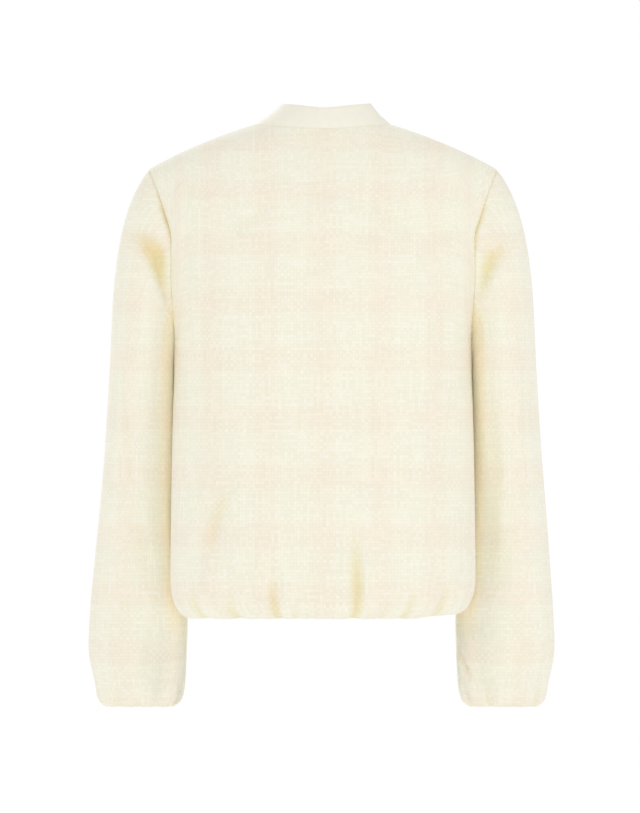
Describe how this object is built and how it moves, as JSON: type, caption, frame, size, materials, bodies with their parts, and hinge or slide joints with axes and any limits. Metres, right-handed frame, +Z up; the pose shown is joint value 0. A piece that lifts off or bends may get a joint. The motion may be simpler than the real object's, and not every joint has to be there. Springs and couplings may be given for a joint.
{
  "type": "cropped tweed jacket",
  "caption": "Cropped blouson jacket filled out as worn, with a smooth stand collar, centre-front zip, set-in sleeves and gathered turned-under hem and cuffs.",
  "frame": {"origin": "the middle of the neck base, level with the top of the shoulders, where the wearer's shoulders hold it", "axes": "+Z up, the front faces -Y, +X is the wearer's left"},
  "size_m": [0.5274, 0.273, 0.6863],
  "materials": {
    "tweed": "cream and peach check in a nubbly basket weave, matt",
    "collar_cloth": "smooth plain cream cloth",
    "zip_tape": "close-woven tape with a metal chain",
    "zip_metal": "pale polished metal"
  },
  "bodies": {
    "jacket": {"back": "tweed", "front_left": "tweed", "front_right": "tweed", "sleeve_left": "tweed", "sleeve_right": "tweed", "collar": "collar_cloth", "zip_tape_left": "zip_tape", "zip_tape_right": "zip_tape", "zip_slider": "zip_metal", "zip_box": "zip_metal"},
    "pull": {"zip_pull": "zip_metal"}
  },
  "joints": [
    {"name": "pull_swing", "type": "hinge", "parent": "jacket", "child": "pull", "pos_m": [0, -0.07307, -0.05172], "axis": [-1, 0, 0], "range_deg": [0, 150]}
  ]
}
